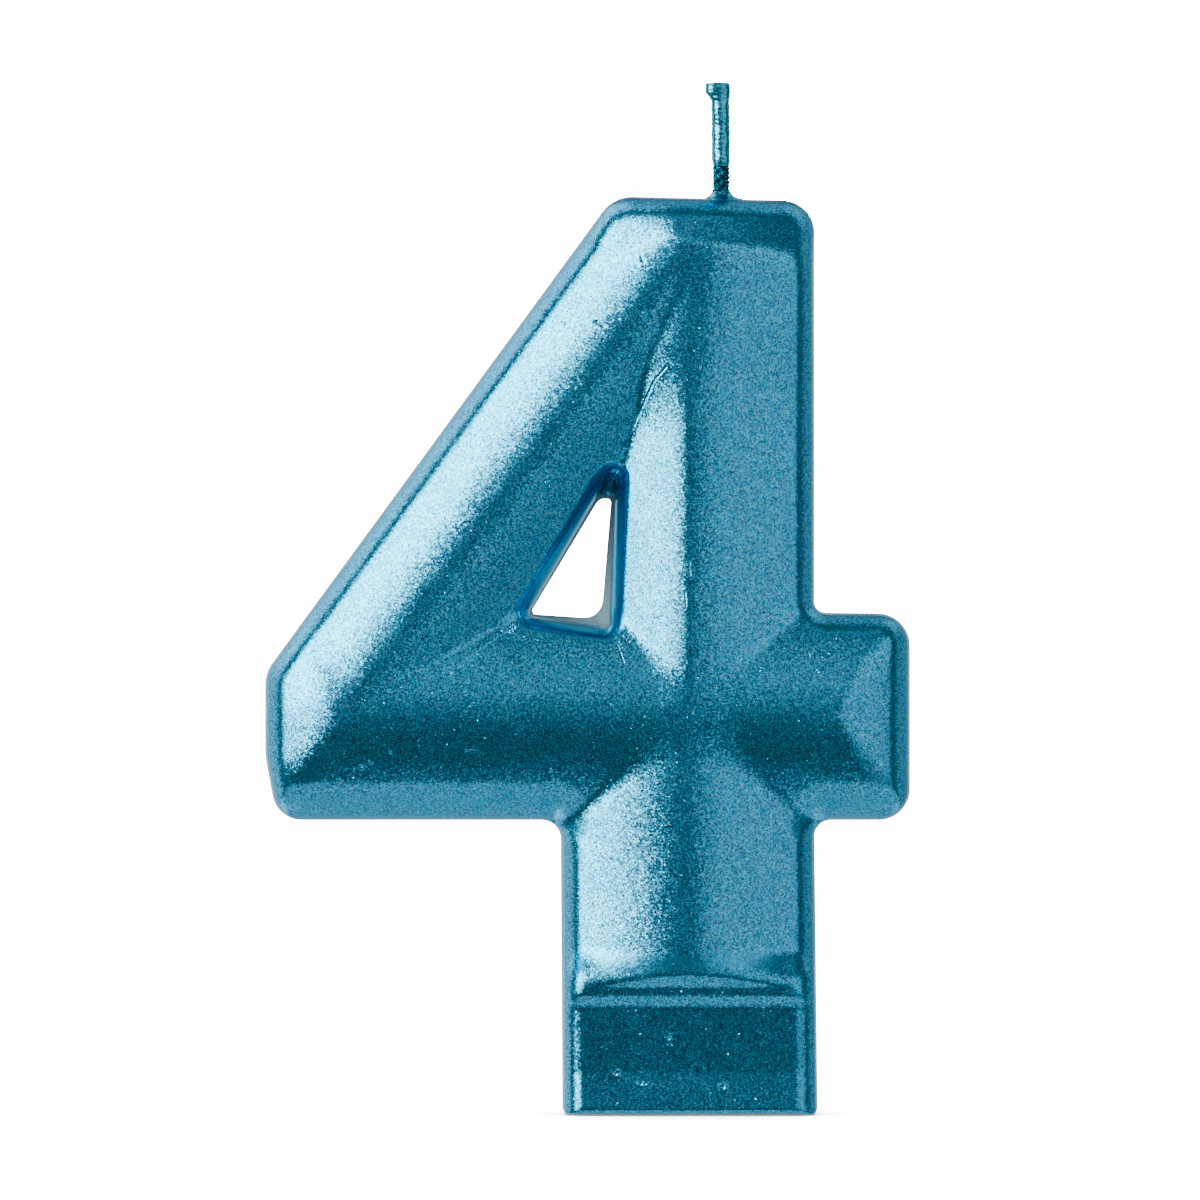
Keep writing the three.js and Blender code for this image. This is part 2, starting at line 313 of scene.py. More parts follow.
def inside(points, line):
    """Which points lie inside a closed line."""
    x, z = points[:, 0], points[:, 1]
    result = np.zeros(len(points), bool)
    for (x0, z0), (x1, z1) in zip(line, np.roll(line, -1, axis=0)):
        if z0 != z1:
            crosses = (z0 > z) != (z1 > z)
            result ^= crosses & (x < (x1 - x0) * (z - z0) / (z1 - z0) + x0)
    return result


# ==== The relief's height ====


def smooth_step(value, low, high):
    """A smooth step from 0 to 1 as value goes from low to high."""
    share = np.clip((value - low) / (high - low), 0, 1)
    return share * share * (3 - 2 * share)


def running_total(values, step):
    """The area under a sampled curve, up to each sample."""
    return np.concatenate([[0], np.cumsum((values[1:] + values[:-1]) / 2 * step)])


def rising_wall(distance, tilts, shoulder):
    """Height of a wall whose tilt is given at a few distances, and which passes the shoulder."""
    fine = np.linspace(0, 6, 2401)
    slope = np.tan(np.radians(np.interp(fine, *zip(*tilts))))
    height = running_total(slope, fine[1] - fine[0])
    lift = shoulder[1] - np.interp(shoulder[0], fine, height)
    steep = np.clip(fine / BASE_SHARPNESS, 0, 1)
    return np.interp(distance, fine, height + lift * steep)


def edge_drop(distance, tilts):
    """How far a rounded edge falls below the roof it would otherwise meet."""
    fine = np.linspace(0, tilts[-1][0], 601)
    tilt = np.tan(np.radians(np.interp(fine, *zip(*tilts))))
    total = running_total(tilt - tilt[-1], fine[1] - fine[0])
    return np.interp(distance, fine, total[-1] - total)


def lower_of(a, b, width):
    """The lower of two heights, with the crease between them rounded over width."""
    overlap = np.maximum(width - np.abs(a - b), 0)
    return np.minimum(a, b) - overlap**2 / (4 * width)


def arch_fall(distance, width, fall=ARCH_FALL, power=ARCH_POWER):
    """How far an arch has fallen at a distance from its ridge; at width it has fallen by fall."""
    return fall * (np.abs(distance) / width) ** power


def stem_fall(x, z):
    """The fall from the stem's ridge: steeper on the left beside the hole, flatter below the lip."""
    offset = x - STEM_RIDGE_X - RIDGE_DRIFT * smooth_step(z, *RIDGE_DRIFT_SPAN)
    wide = arch_fall(offset, STEM_REACH)
    narrow = arch_fall(offset, FLANK_REACH, FLANK_FALL, FLANK_POWER)
    low, full, fading, gone = FLANK_SPAN
    share = smooth_step(z, low, full) * (1 - smooth_step(z, fading, gone))
    flatter = 1 - FOOT_FLATTENING * (1 - smooth_step(z, *FOOT_TURN))
    return np.where(offset < 0, wide + (narrow - wide) * share, wide) * flatter


def bar_fall(x, z):
    """The fall from the bar's ridge, which ends in a cone above and in a hip below."""
    end = TOP_LEFT + DIAGONAL_RIDGE_INSET / math.cos(LEAN) - (TOP - BAR_RIDGE_Z) * math.tan(LEAN)
    past = np.clip(end - x, 0, None) / (end - LEFT)
    across = np.abs(z - BAR_RIDGE_Z) / BAR_REACH
    blend = np.where(z < BAR_RIDGE_Z, BAR_HIP_BLEND, BAR_CONE_BLEND)
    return arch_fall((across**blend + past**blend) ** (1 / blend), 1.0, BAR_FALL)


def diagonal_fall(x, z):
    """The fall from the diagonal's ridge, which runs from the stem's ridge down to the bar's."""
    along = np.array([math.sin(LEAN), math.cos(LEAN)])
    across = np.array([math.cos(LEAN), -math.sin(LEAN)])
    origin = np.array([TOP_LEFT, TOP]) + across * DIAGONAL_RIDGE_INSET
    low = (BAR_RIDGE_Z - origin[1]) / along[1]
    high = (STEM_RIDGE_X - origin[0]) / along[0]
    v = (x - origin[0]) * along[0] + (z - origin[1]) * along[1]
    u = (x - origin[0]) * across[0] + (z - origin[1]) * across[1]
    past = v - np.clip(v, low, high)
    return arch_fall(np.hypot(u, past), DIAGONAL_RIDGE_INSET)


def right_hip_fall(x):
    """The fall of the hip at the bar's right end."""
    return arch_fall(np.clip(x - RIGHT + SIDE_HIP, 0, None), SIDE_HIP)


def top_hip_fall(x, z):
    """The fall of the hip at the top of the stem."""
    off = x - TOP_HIP_X
    drop = np.where(off < 0, TOP_HIP_LEFT_DROP * (np.sqrt(off**2 + 1) - 1), TOP_HIP_BOW * off**2)
    start = TOP_HIP_Z - drop
    rise = TOP_HIP_RUN * np.tanh(np.clip(z - start, 0, None) / TOP_HIP_RUN)
    return (TOP_HIP_SLOPE * rise + TOP_HIP_GROWTH * rise**2) * smooth_step(x, *TOP_HIP_FADE)


def roof_height(x, z):
    """The three arched strokes, ended by hips. A ridge keeps its height where two strokes cross."""
    crossing = np.exp(-((x - STEM_RIDGE_X) ** 2 + (z - BAR_RIDGE_Z) ** 2) / CROSSING_RADIUS**2)
    width = CREASE_WIDTH + CROSSING_WIDTH * crossing
    strokes = lower_of(stem_fall(x, z), bar_fall(x, z), width)
    strokes = np.maximum(lower_of(strokes, diagonal_fall(x, z), width) + width / 4, 0)
    fall = (strokes**SIDE_HIP_BLEND + right_hip_fall(x) ** SIDE_HIP_BLEND) ** (1 / SIDE_HIP_BLEND)
    soft, crisp = TOP_HIP_BLEND
    blend = soft + (crisp - soft) * smooth_step(x, *TOP_HIP_TURN)
    fall = (fall**blend + top_hip_fall(x, z) ** blend) ** (1 / blend)
    return RIDGE - fall


def underside_distance(x, z):
    """Distance to the bar's two bottom edges, left and right of the stem."""
    gaps = [np.hypot(x - np.clip(x, low, high), z - BAR_BOTTOM) for low, high in UNDERSIDE_SPANS]
    return np.minimum(*gaps)


def bell(offset, width):
    """A bell curve of height 1."""
    return np.exp(-((offset / width) ** 2))


def pooled_dip_and_shade(x, z, side, hole):
    """How much the dip lies in pools, and how much painted shade darkens it there: round the hole, along
    the edge, on the foot's lip, in one patch.
    """
    round_hole = 1 - smooth_step(hole, *HOLE_POOL_SHADE)
    along_edge = EDGE_POOL_SHADE * bell(side - EDGE_POOL_SHADE_AT, EDGE_POOL_SHADE_WIDTH)
    lip = LIP_POOL_SHADE * bell(z - LIP_POOL_SHADE_Z, LIP_POOL_SHADE_WIDTH) * smooth_step(side, *LIP_POOL_SHADE_ENDS)
    patch = bell(x - PATCH_AT[0], PATCH_SIZE[0]) * bell(z - PATCH_AT[1], PATCH_SIZE[1])
    return np.clip(np.maximum.reduce([round_hole, along_edge, lip, patch]), 0, 1)


def edge_distances(points):
    """Each point's distance to the outline's sides and to the hole's walls."""
    side = distance_to(points, ring(outline_corners(FOOT_REACH), 0))
    walls = ring(HOLE_WALLS, 0, HOLE_MEASURE_SPACING)
    return side, np.where(inside(points, walls), 0, distance_to(points, walls))


def surface_height(points, side, hole, wave_seed, marks=(), round_base=True):
    """Height of a face above the parting plane."""
    x, z = points[:, 0], points[:, 1]
    height = lower_of(roof_height(x, z), np.interp(z, *zip(*FOOT_PROFILE)), FOOT_CREASE)
    drop = np.maximum(edge_drop(side, EDGE_TILT), edge_drop(underside_distance(x, z), UNDERSIDE_TILT))
    height = height - drop - edge_drop(hole, HOLE_TILT)
    height = height * np.clip(np.minimum(side, hole) / EDGE_DROP, 0, 1) ** EDGE_DROP_POWER
    wave = [noise.noise(Vector((a / WAVE_LENGTH, b / WAVE_LENGTH, wave_seed))) for a, b in points]
    height = height + np.array(wave) * WAVINESS * np.clip(height / WAVE_FULL_HEIGHT, 0, 1)
    for mark in marks:
        height = height + mark_height(points, mark)
    if round_base:
        height = lower_of(height, rising_wall(z - BASE, BASE_TILT, BASE_SHOULDER), BASE_CREASE)
    return np.maximum(height, FLASH_THICKNESS)


# ==== Nicks, scratches and bubbles ====

# Grooves as (start, end, width, depth); a nick is a short one.
GROOVES = [
    ((-3.9, 68.3), (-3.75, 68.0), 0.10, 0.06),
    ((-7.5, 63.25), (-6.9, 62.85), 0.11, 0.08),
    ((-5.85, 63.5), (-5.7, 63.4), 0.10, 0.07),
    ((-10.2, 63.3), (-9.95, 63.1), 0.09, 0.05),
    ((-9.1, 58.5), (-8.8, 58.2), 0.13, 0.07),
    ((-9.4, 58.1), (-9.2, 57.9), 0.09, 0.05),
    ((-1.95, 59.6), (-2.9, 58.5), 0.06, 0.04),
    ((-2.9, 58.5), (-5.6, 52.6), 0.07, 0.05),
    ((-13.1, 39.6), (-19.2, 35.3), 0.09, 0.07),
    ((-6.3, 38.5), (-5.4, 37.3), 0.06, 0.035),
    ((-6.1, 38.3), (-5.3, 36.1), 0.06, 0.035),
    ((-5.9, 38.6), (-4.9, 37.7), 0.05, 0.03),
    ((-0.42, 41.6), (-0.36, 40.6), 0.05, 0.04),
    ((-0.05, 44.2), (-0.02, 43.0), 0.05, 0.04),
    ((-25.6, 28.3), (-25.3, 28.0), 0.08, 0.05),
    ((-24.0, 29.2), (-23.7, 28.9), 0.07, 0.05),
    ((-17.9, 29.1), (-16.9, 29.2), 0.06, 0.04),
    ((4.2, 27.3), (4.5, 27.2), 0.08, 0.05),
    ((-14.9, 36.3), (-14.2, 36.1), 0.06, 0.04),
]
# Burst bubbles as (centre, radius, depth).
BUBBLES = [
    ((-5.98, 3.4), 0.28, 0.06),
    ((-3.95, 2.6), 0.22, 0.06),
    ((-3.6, 2.6), 0.18, 0.05),
    ((2.6, 2.3), 0.24, 0.05),
    ((-1.76, 6.2), 0.20, 0.05),
    ((-26.2, 27.9), 0.22, 0.05),
]
MARKS = [("groove", *groove) for groove in GROOVES] + [("bubble", *bubble) for bubble in BUBBLES]


def distance_to_groove(points, start, end):
    """Each point's distance to the middle line of a groove."""
    start, end = np.array(start), np.array(end)
    along = end - start
    share = np.clip((points - start) @ along / (along @ along), 0, 1)
    return np.linalg.norm(points - start - share[:, None] * along, axis=1)


def mark_height(points, mark):
    """A groove with low lips, or a bubble's rim round a small pit."""
    if mark[0] == "groove":
        _, start, end, width, depth = mark
        distance = distance_to_groove(points, start, end) / width
        return depth * (0.35 * np.exp(-((distance - 2) ** 2)) - np.exp(-(distance**2)))
    _, centre, radius, depth = mark
    distance = np.linalg.norm(points - np.array(centre), axis=1) / radius
    return depth * (np.exp(-(((distance - 1) / 0.35) ** 2)) - np.exp(-((distance / 0.6) ** 2)))


def mark_points(mark):
    """Extra mesh points that let a mark show."""
    if mark[0] == "groove":
        _, start, end, width, _ = mark
        start, end = np.array(start), np.array(end)
        length = float(np.linalg.norm(end - start))
        along = (end - start) / length
        side = np.array([-along[1], along[0]])
        steps = max(3, round(length / 0.13))
        offsets = [width * times for times in (-2.8, -1.8, -0.9, 0, 0.9, 1.8, 2.8)]
        walk = [start + along * length * step / steps for step in range(-1, steps + 2)]
        return [point + side * offset for point in walk for offset in offsets]
    _, centre, radius, _ = mark
    turns = [2 * math.pi * step / 12 for step in range(12)]
    reach = [radius * times for times in (0.35, 0.7, 1.0, 1.35, 1.8)]
    rim = [np.array([math.cos(turn), math.sin(turn)]) for turn in turns]
    return [np.array(centre)] + [np.array(centre) + arm * far for far in reach for arm in rim]


# ==== The dip coat ====


def far_from(points, others, gap):
    """Which points are further than gap from every one of the others."""
    keep = np.ones(len(points), bool)
    for low in range(0, len(points), BATCH):
        block = points[low : low + BATCH, None, :] - others[None, :, :]
        keep[low : low + BATCH] = (block**2).sum(axis=2).min(axis=1) > gap**2
    return keep


def grid_points(spacing, margins, outline, walls, bottom):
    """A triangular grid inside the outline and outside the hole's walls, clear of both by margins."""
    across = np.arange(LEFT, RIGHT, spacing)
    up = np.arange(bottom, TOP, spacing * math.sqrt(3) / 2)
    grid_x, grid_z = np.meshgrid(across, up)
    grid_x[1::2] += spacing / 2
    grid = np.column_stack([grid_x.ravel(), grid_z.ravel()])
    grid = grid[inside(grid, outline) & ~inside(grid, walls)]
    return grid[(distance_to(grid, outline) > margins[0]) & (distance_to(grid, walls) > margins[1])]


def add_mark_points(grid, spacing, outline, walls):
    """The grid with the marks' own points in it."""
    extra = np.array([point for mark in MARKS for point in mark_points(mark)])
    outside = (distance_to(extra, outline) < MARK_MARGIN) | ~inside(extra, outline)
    in_hole = (distance_to(extra, walls) < MARK_MARGIN) | inside(extra, walls)
    extra = extra[~outside & ~in_hole]
    return np.vstack([grid[far_from(grid, extra, spacing * MARK_ROOM)], extra])


def as_loops(rings):
    """The rings' points numbered one after the other."""
    ends = np.cumsum([len(points) for points in rings])
    return [np.arange(end - len(points), end) for points, end in zip(rings, ends)]


def triangulate(points, loops, outline, hole):
    """Triangles that fill the outline and leave out the hole, anticlockwise from the front."""
    edges = [(int(a), int(b)) for loop in loops for a, b in zip(loop, np.roll(loop, -1))]
    flat = [Vector((float(x), float(z))) for x, z in points]
    _, _, faces, origins, _, _ = delaunay_2d_cdt(flat, edges, [], 0, 1e-7)
    where = np.array([min(origin) for origin in origins])
    triangles = where[np.array(faces)]
    middles = points[triangles].mean(axis=1)
    return triangles[inside(middles, points[outline]) & ~inside(middles, points[hole])]


def link_mesh(name, verts_mm, faces, smooth=True):
    """A new mesh object from vertices in millimetres."""
    mesh = bpy.data.meshes.new(name)
    mesh.from_pydata((np.asarray(verts_mm) * MM).tolist(), [], faces)
    mesh.validate()
    if smooth:
        mesh.shade_smooth()
    piece = bpy.data.objects.new(name, mesh)
    bpy.context.scene.collection.objects.link(piece)
    return piece


def close_two_faces(name, points, loops, outline, hole, front, back):
    """A closed solid from a front and a back height over the same plan."""
    count = len(points)
    near = np.column_stack([points[:, 0], -front, points[:, 1]])
    far = np.column_stack([points[:, 0], back, points[:, 1]])
    triangles = triangulate(points, loops, outline, hole)
    faces = [tuple(int(i) for i in triangle) for triangle in triangles]
    faces += [tuple(int(i) + count for i in triangle[::-1]) for triangle in triangles]
    for rim, outer in ((outline, True), (hole, False)):
        for a, b in zip(rim, np.roll(rim, -1)):
            quad = (int(a), int(a) + count, int(b) + count, int(b))
            faces.append(quad if outer else quad[::-1])
    return link_mesh(name, np.vstack([near, far]), faces)


def paint_mask(piece, name, values):
    """Stores a number for each vertex, for the material to read."""
    mask = piece.data.attributes.new(name, "FLOAT", "POINT")
    mask.data.foreach_set("value", np.concatenate(values).astype(np.float32))


def build_dip_coat():
    """The coat, out to the edge of the flash in the hole, with the marks on its front."""
    sides = [ring(outline_corners(), inset, GRID_SPACING * RING_STRETCH) for inset in RING_INSETS]
    flash = ring(HOLE_FLASH, 0, FLASH_SPACING)
    walls = [ring(HOLE_WALLS, -inset, HOLE_SPACING) for inset in RING_INSETS]
    grid = grid_points(GRID_SPACING, GRID_MARGINS, sides[0], walls[0], BASE)
    grid = add_mark_points(grid, GRID_SPACING, sides[0], walls[0])
    rings = sides + [flash] + walls
    points = np.vstack(rings + [grid])
    loops = as_loops(rings)
    outline, hole = loops[0], loops[len(sides)]
    side, wall = edge_distances(points)
    front = surface_height(points, side, wall, FRONT_WAVE, MARKS)
    back = surface_height(points, side, wall, BACK_WAVE)
    for rim in (outline, hole):
        front[rim] = back[rim] = COAT_RIM
    piece = close_two_faces("dip_coat", points, loops, outline, hole, front, back)
    # This mask calms the flakes in the pools and darkens them there as painted shade.
    pool_and_shade = pooled_dip_and_shade(points[:, 0], points[:, 1], side, wall)
    bare = ((wall < BARE_REACH) & (points[:, 1] < BARE_TOP)).astype(float)
    paint_mask(piece, "pool_and_shade", (pool_and_shade, pool_and_shade))
    paint_mask(piece, "bare", (bare, bare))
    return piece


def build_wax_core():
    """The wax inside the coat, a skin's thickness in from it, down to the bare face of the foot."""
    reach = SKIN + BASE - BARE_FACE
    corners = outline_corners(reach)
    sides = [ring(corners, inset, CORE_SPACING * RING_STRETCH) for inset in CORE_INSETS]
    walls = [ring(HOLE_WALLS, -inset, HOLE_SPACING) for inset in CORE_INSETS]
    grid = grid_points(CORE_SPACING, CORE_MARGINS, sides[0], walls[0], BASE - reach)
    rings = sides + walls
    points = np.vstack(rings + [grid])
    loops = as_loops(rings)
    outline, hole = loops[0], loops[len(sides)]
    height = surface_height(points, *edge_distances(points), FRONT_WAVE, round_base=False)
    height = np.maximum(height - SKIN / math.cos(CORE_SLOPE), CORE_RIM)
    for rim in (outline, hole):
        height[rim] = CORE_RIM
    return close_two_faces("wax_body", points, loops, outline, hole, height, height)


# ==== The wick ====

WICK_X = (WICK_LOW.x + WICK_HIGH.x) / 2
TIP_SHIFT = 0.06
TIP_LEAN = 0.1
SWAY = 0.03
# Inside the wax the wick is a plain tube, narrower at its foot, which runs a little way into the braid.
BURIED_RADIUS = 0.52
BURIED_FOOT_RADIUS = 0.42
BURIED_UNEVENNESS = 0.03
BURIED_ROWS = 60
BURIED_SIDES = 16
BURIED_OVERLAP = 0.6
# The braid: yarns each way, and how far each weaves in and out.
BRAID_BOTTOM = TOP - 2.6
BRAID_TOP = WICK_HIGH.z - 0.1
BRAID_RADIUS = 0.42
BRAID_WEAVE = 0.11
BRAID_STEP = 0.085
YARNS = 4
YARN_RADIUS = 0.19
YARN_SIDES = 8
STITCH = 0.36
# Inside the sleeve the braid is squeezed. Its unevenness, in radius, turn and thickness.
SQUEEZE = 0.62
UNEVEN_RADIUS = 0.03
UNEVEN_TURN = 0.15
UNEVEN_THICKNESS = 0.18
# Loose threads as (height, angle, curl), each bowed out from the braid.
THREADS = [(74.1, -0.5, 0.5), (74.8, -0.2, -0.7), (73.7, 3.3, 0.6), (75.0, -2.0, 0.8), (74.4, -1.2, 0.9)]
THREAD_RADIUS = 0.035
THREAD_SIDES = 6
THREAD_STEPS = 8
THREAD_START = 0.5
THREAD_BOW = 0.42
THREAD_RISE = 0.9
# The sleeve of dried dip, with the stitches and lumps in it.
SLEEVE_RADIUS = 0.72
SLEEVE_STITCHES = 0.014
SLEEVE_LUMPS = 0.05
SLEEVE_BOTTOM = TIP_LOW.z
SLEEVE_TOP = TIP_HIGH.z - 0.14
SLEEVE_ROWS = 120
SLEEVE_SIDES = 56
# Its tip flares over these heights, to the left and a little to the right, and its hem is thinner.
FLARE_SPAN = (80.9, 81.9)
FLARE_LEFT = 0.5
FLARE_RIGHT = 0.06
HEM_HEIGHT = 0.5
HEM_THINNING = 0.1
# Its lumpy end, as (share of the radius, rise), no higher than the lift.
SLEEVE_END = [(0.93, 0.09), (0.8, 0.12), (0.6, 0.08), (0.35, 0.02), (0.12, -0.02)]
END_LUMPS = 0.05
END_LIFT = 0.13
# The collar's profile, as (radius, rise), from the wick out and down into the coat.
COLLAR_PROFILE = [
    (0.50, 0.60), (0.66, 0.64), (0.74, 0.58), (0.80, 0.44), (0.90, 0.31), (1.02, 0.20), (1.20, 0.11),
    (1.42, 0.04), (1.66, -0.03), (1.90, -0.16), (2.10, -0.4)
]
COLLAR_SIDES = 64
COLLAR_SINK = 0.2
COLLAR_SPREAD = 0.1
COLLAR_SPREAD_SPAN = (0.8, 1.5)
COLLAR_RIPPLE = 0.04


def round_angles(sides):
    """The angles of the corners of a ring."""
    return [2 * math.pi * step / sides for step in range(sides)]


def out_from(angle, reach, rise=0.0):
    """A step outwards from an upright axis, and up by rise."""
    return Vector((math.cos(angle) * reach, math.sin(angle) * reach, rise))


def tube_faces(rows, sides, reverse):
    """Faces between rings of vertices, with a cap at each end. Reverse turns them inside out."""
    faces = []
    for row in range(rows - 1):
        for step in range(sides):
            a, b = row * sides + step, row * sides + (step + 1) % sides
            faces.append((a, b, b + sides, a + sides))
    faces.append(tuple(range(sides - 1, -1, -1)))
    faces.append(tuple(range((rows - 1) * sides, rows * sides)))
    return [face[:1] + face[:0:-1] for face in faces] if reverse else faces


def sweep(path, radii, sides):
    """Vertices and faces of a closed tube of changing radius along a path of points."""
    verts = []
    for i, (point, radius) in enumerate(zip(path, radii)):
        along = (path[min(i + 1, len(path) - 1)] - path[max(i - 1, 0)]).normalized()
        side = along.cross(Vector((0.3, 1.0, 0.2))).normalized()
        up = side.cross(along)
        for turn in round_angles(sides):
            verts.append(point + (side * math.cos(turn) + up * math.sin(turn)) * radius)
    return verts, tube_faces(len(path), sides, reverse=True)


def gather(parts):
    """Joins several lists of vertices and faces."""
    verts, faces = [], []
    for more_verts, more_faces in parts:
        start = len(verts)
        verts.extend(more_verts)
        faces.extend(tuple(i + start for i in face) for face in more_faces)
    return verts, faces


def wick_centre(z):
    """The wick stands a little crooked above the candle."""
    rise = max(z - TOP, 0) / (TIP_HIGH.z - TOP)
    sway = SWAY * noise.noise(Vector((0, 0, z * 0.8)))
    return Vector((WICK_X + TIP_SHIFT - TIP_LEAN * rise + sway * min(rise * 4, 1), 0, z))


def braid_strand(index, sense):
    """One yarn of the braid, over one and under the next."""
    turn_rate = math.pi / YARNS / STITCH
    offset = index * 2 * math.pi / YARNS + (0 if sense > 0 else math.pi / YARNS)
    steps = round((BRAID_TOP - BRAID_BOTTOM) / BRAID_STEP)
    path, radii = [], []
    for step in range(steps + 1):
        z = BRAID_BOTTOM + (BRAID_TOP - BRAID_BOTTOM) * step / steps
        turn = turn_rate * (z - BRAID_BOTTOM)
        squeeze = 1.0 if z < SLEEVE_BOTTOM else SQUEEZE
        uneven = noise.noise(Vector((index, sense * 3.1, z * 1.3)))
        weave = sense * BRAID_WEAVE * math.cos(YARNS * (turn - math.pi / (2 * YARNS)))
        radius = (BRAID_RADIUS + weave) * squeeze + UNEVEN_RADIUS * uneven
        path.append(wick_centre(z) + out_from(sense * turn + offset + UNEVEN_TURN * uneven, radius))
        radii.append(YARN_RADIUS * squeeze * (1 + UNEVEN_THICKNESS * uneven))
    return sweep(path, radii, YARN_SIDES)


def build_wick():
    """The straight wick inside the wax, and the braid where it is bare."""
    run = BRAID_BOTTOM + BURIED_OVERLAP - WICK_LOW.z
    heights = [WICK_LOW.z + run * row / BURIED_ROWS for row in range(BURIED_ROWS + 1)]
    radii = [BURIED_RADIUS + BURIED_UNEVENNESS * noise.noise(Vector((1.5, 0, z * 1.1))) for z in heights]
    radii[0] = BURIED_FOOT_RADIUS
    buried = sweep([wick_centre(z) for z in heights], radii, BURIED_SIDES)
    strands = [braid_strand(index, sense) for sense in (1, -1) for index in range(YARNS)]
    return link_mesh("braided_wick", *gather([buried] + strands))


def loose_thread(z, angle, curl):
    """A thread standing off the braid."""
    path = []
    for step in range(THREAD_STEPS + 1):
        share = step / THREAD_STEPS
        out = THREAD_START + THREAD_BOW * math.sin(math.pi * share)
        path.append(wick_centre(z) + out_from(angle + curl * share, out, THREAD_RISE * share))
    return sweep(path, [THREAD_RADIUS] * len(path), THREAD_SIDES)


def build_loose_threads():
    return link_mesh("wick_loose_threads", *gather([loose_thread(*thread) for thread in THREADS]))


def sleeve_radius(z, angle):
    """The dried dip follows the stitches beneath and flares to the left at its tip."""
    stitches = math.cos(2 * math.pi * (z / STITCH) + 2 * angle) * math.cos(3 * angle + z * 1.7)
    lumps = noise.noise(out_from(angle, 1.2, z * 1.6))
    radius = SLEEVE_RADIUS + SLEEVE_STITCHES * stitches + SLEEVE_LUMPS * lumps
    left = max(-math.cos(angle), 0) ** 2
    right = max(math.cos(angle), 0) ** 2
    flare = smooth_step(z, *FLARE_SPAN) * (FLARE_LEFT * left + FLARE_RIGHT * right)
    hem = smooth_step(z, SLEEVE_BOTTOM, SLEEVE_BOTTOM + HEM_HEIGHT)
    return float((radius + flare) * (1 - HEM_THINNING + HEM_THINNING * hem))


def build_sleeve():
    """The sleeve of dried dip, with its closed, lumpy end."""
    verts = []
    for row in range(SLEEVE_ROWS + 1):
        z = SLEEVE_BOTTOM + (SLEEVE_TOP - SLEEVE_BOTTOM) * row / SLEEVE_ROWS
        for angle in round_angles(SLEEVE_SIDES):
            verts.append(wick_centre(z) + out_from(angle, sleeve_radius(z, angle)))
    for shrink, rise in SLEEVE_END:
        for angle in round_angles(SLEEVE_SIDES):
            lump = END_LUMPS * noise.noise(out_from(angle, 2 * shrink, 5))
            reach = sleeve_radius(SLEEVE_TOP, angle) * shrink
            verts.append(wick_centre(SLEEVE_TOP) + out_from(angle, reach, min(rise + lump, END_LIFT)))
    rows = SLEEVE_ROWS + 1 + len(SLEEVE_END)
    return link_mesh("dried_dip_sleeve", verts, tube_faces(rows, SLEEVE_SIDES, reverse=False))


def build_collar():
    """The dip's meniscus, drawn up round the wick and wider on its right."""
    verts = []
    for radius, rise in COLLAR_PROFILE:
        for angle in round_angles(COLLAR_SIDES):
            spread = 1 + COLLAR_SPREAD * math.cos(angle) * smooth_step(radius, *COLLAR_SPREAD_SPAN)
            ripple = COLLAR_RIPPLE * noise.noise(out_from(angle, 1.5, rise * 2))
            across = out_from(angle, (radius + ripple) * spread, rise + ripple)
            verts.append(wick_centre(TOP - COLLAR_SINK) + across)
    faces = tube_faces(len(COLLAR_PROFILE), COLLAR_SIDES, reverse=True)
    return link_mesh("wick_collar", verts, faces)


# ==== Node helpers ====


